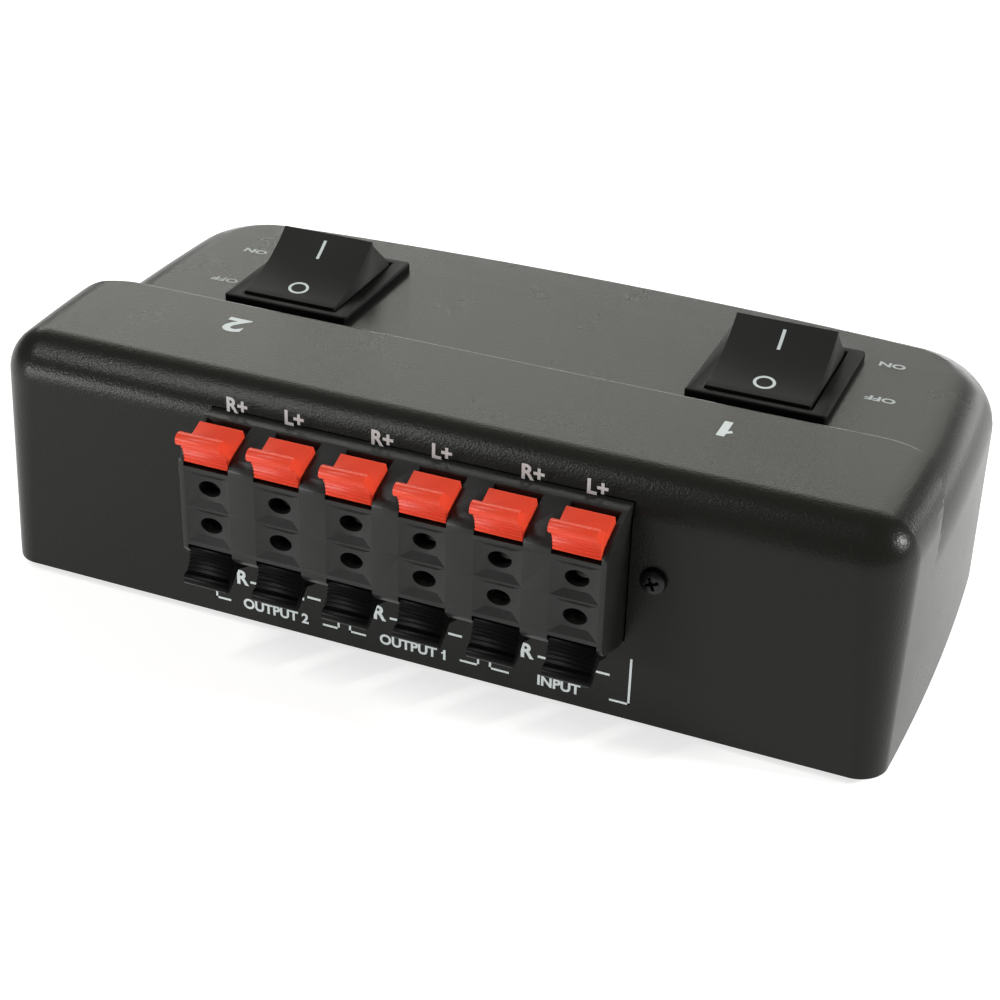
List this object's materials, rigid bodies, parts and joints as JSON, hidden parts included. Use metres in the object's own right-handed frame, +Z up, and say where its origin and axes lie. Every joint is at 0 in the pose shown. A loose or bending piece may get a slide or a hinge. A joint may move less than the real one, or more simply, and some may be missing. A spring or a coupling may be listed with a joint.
{
  "type": "speaker selector switch",
  "caption": "Console box with a raised rear ridge, two rocker switches on the front deck and a rear block of press-lever wire terminals, for switching two pairs of speakers",
  "frame": {"origin": "middle of the case's flat underside; the rubber feet reach 1.5 mm below it", "axes": "+X to the user's right along the case, +Y towards the rear wall with the wire terminals, +Z up"},
  "size_m": [0.1678, 0.1034, 0.0506],
  "materials": {
    "case_plastic": "fine moulded texture, satin",
    "base_plastic": "moulded, matt",
    "zinc_steel": "zinc plated",
    "foot_rubber": "matt",
    "terminal_plastic": "moulded, slightly grainy",
    "phenolic_board": "pressed sheet",
    "circuit_board": "solder resist",
    "contact_brass": "stamped",
    "black_steel": "black oxide",
    "red_plastic": "moulded, satin gloss",
    "black_plastic": "moulded, satin gloss",
    "frame_plastic": "moulded, satin",
    "rocker_plastic": "moulded, satin gloss, white pad-printed marks",
    "acetal": "natural",
    "spring_steel": "drawn wire",
    "copper": "stamped copper alloy",
    "tinned_brass": "tinned",
    "wire_insulation": "extruded PVC"
  },
  "bodies": {
    "case": {"top_cover": "case_plastic", "base_plate": "base_plastic", "case_screws": "zinc_steel", "rubber_feet": "foot_rubber", "terminal_housing": "terminal_plastic", "terminal_backplate": "phenolic_board", "circuit_board": "circuit_board", "upper_contacts": "contact_brass", "lower_contacts": "contact_brass", "terminal_screws": "black_steel", "rocker_housing_1": "frame_plastic", "rocker_tabs_1": "tinned_brass", "rocker_wires_1": "wire_insulation", "rocker_housing_2": "frame_plastic", "rocker_tabs_2": "tinned_brass", "rocker_wires_2": "wire_insulation"},
    "red_lever_1": {"red_lever_1": "red_plastic"},
    "red_lever_2": {"red_lever_2": "red_plastic"},
    "red_lever_3": {"red_lever_3": "red_plastic"},
    "red_lever_4": {"red_lever_4": "red_plastic"},
    "red_lever_5": {"red_lever_5": "red_plastic"},
    "red_lever_6": {"red_lever_6": "red_plastic"},
    "black_lever_1": {"black_lever_1": "black_plastic"},
    "black_lever_2": {"black_lever_2": "black_plastic"},
    "black_lever_3": {"black_lever_3": "black_plastic"},
    "black_lever_4": {"black_lever_4": "black_plastic"},
    "black_lever_5": {"black_lever_5": "black_plastic"},
    "black_lever_6": {"black_lever_6": "black_plastic"},
    "rocker_1": {"rocker_actuator_1": "rocker_plastic", "rocker_plungers_1": "acetal", "rocker_springs_1": "spring_steel"},
    "bridges_1": {"rocker_bridges_1": "copper"},
    "rocker_2": {"rocker_actuator_2": "rocker_plastic", "rocker_plungers_2": "acetal", "rocker_springs_2": "spring_steel"},
    "bridges_2": {"rocker_bridges_2": "copper"}
  },
  "joints": [
    {"name": "red_lever_1_press", "type": "hinge", "parent": "case", "child": "red_lever_1", "pos_m": [0.03275, 0.0536, 0.0375], "axis": [1, 0, 0], "range_deg": [0, 14], "stiffness_Nm_per_rad": 0.02, "springref_deg": -17.19},
    {"name": "red_lever_2_press", "type": "hinge", "parent": "case", "child": "red_lever_2", "pos_m": [0.01965, 0.0536, 0.0375], "axis": [1, 0, 0], "range_deg": [0, 14], "stiffness_Nm_per_rad": 0.02, "springref_deg": -17.19},
    {"name": "red_lever_3_press", "type": "hinge", "parent": "case", "child": "red_lever_3", "pos_m": [0.00655, 0.0536, 0.0375], "axis": [1, 0, 0], "range_deg": [0, 14], "stiffness_Nm_per_rad": 0.02, "springref_deg": -17.19},
    {"name": "red_lever_4_press", "type": "hinge", "parent": "case", "child": "red_lever_4", "pos_m": [-0.00655, 0.0536, 0.0375], "axis": [1, 0, 0], "range_deg": [0, 14], "stiffness_Nm_per_rad": 0.02, "springref_deg": -17.19},
    {"name": "red_lever_5_press", "type": "hinge", "parent": "case", "child": "red_lever_5", "pos_m": [-0.01965, 0.0536, 0.0375], "axis": [1, 0, 0], "range_deg": [0, 14], "stiffness_Nm_per_rad": 0.02, "springref_deg": -17.19},
    {"name": "red_lever_6_press", "type": "hinge", "parent": "case", "child": "red_lever_6", "pos_m": [-0.03275, 0.0536, 0.0375], "axis": [1, 0, 0], "range_deg": [0, 14], "stiffness_Nm_per_rad": 0.02, "springref_deg": -17.19},
    {"name": "black_lever_1_press", "type": "hinge", "parent": "case", "child": "black_lever_1", "pos_m": [0.03275, 0.0536, 0.0191], "axis": [-1, 0, 0], "range_deg": [0, 14], "stiffness_Nm_per_rad": 0.02, "springref_deg": -17.19},
    {"name": "black_lever_2_press", "type": "hinge", "parent": "case", "child": "black_lever_2", "pos_m": [0.01965, 0.0536, 0.0191], "axis": [-1, 0, 0], "range_deg": [0, 14], "stiffness_Nm_per_rad": 0.02, "springref_deg": -17.19},
    {"name": "black_lever_3_press", "type": "hinge", "parent": "case", "child": "black_lever_3", "pos_m": [0.00655, 0.0536, 0.0191], "axis": [-1, 0, 0], "range_deg": [0, 14], "stiffness_Nm_per_rad": 0.02, "springref_deg": -17.19},
    {"name": "black_lever_4_press", "type": "hinge", "parent": "case", "child": "black_lever_4", "pos_m": [-0.00655, 0.0536, 0.0191], "axis": [-1, 0, 0], "range_deg": [0, 14], "stiffness_Nm_per_rad": 0.02, "springref_deg": -17.19},
    {"name": "black_lever_5_press", "type": "hinge", "parent": "case", "child": "black_lever_5", "pos_m": [-0.01965, 0.0536, 0.0191], "axis": [-1, 0, 0], "range_deg": [0, 14], "stiffness_Nm_per_rad": 0.02, "springref_deg": -17.19},
    {"name": "black_lever_6_press", "type": "hinge", "parent": "case", "child": "black_lever_6", "pos_m": [-0.03275, 0.0536, 0.0191], "axis": [-1, 0, 0], "range_deg": [0, 14], "stiffness_Nm_per_rad": 0.02, "springref_deg": -17.19},
    {"name": "rocker_1_tilt", "type": "hinge", "parent": "case", "child": "rocker_1", "pos_m": [-0.0456, -0.0105, 0.0359], "axis": [1, 0, 0], "range_deg": [0, 42]},
    {"name": "bridges_1_tilt", "type": "hinge", "parent": "case", "child": "bridges_1", "pos_m": [-0.0456, -0.0105, 0.02165], "axis": [1, 0, 0], "range_deg": [-18, 0]},
    {"name": "rocker_2_tilt", "type": "hinge", "parent": "case", "child": "rocker_2", "pos_m": [0.0456, -0.0105, 0.0359], "axis": [1, 0, 0], "range_deg": [0, 42]},
    {"name": "bridges_2_tilt", "type": "hinge", "parent": "case", "child": "bridges_2", "pos_m": [0.0456, -0.0105, 0.02165], "axis": [1, 0, 0], "range_deg": [-18, 0]}
  ],
  "couplings": [
    {"joint": "bridges_1_tilt", "follows": "rocker_1_tilt", "ratio": -0.42857},
    {"joint": "bridges_2_tilt", "follows": "rocker_2_tilt", "ratio": -0.42857}
  ]
}
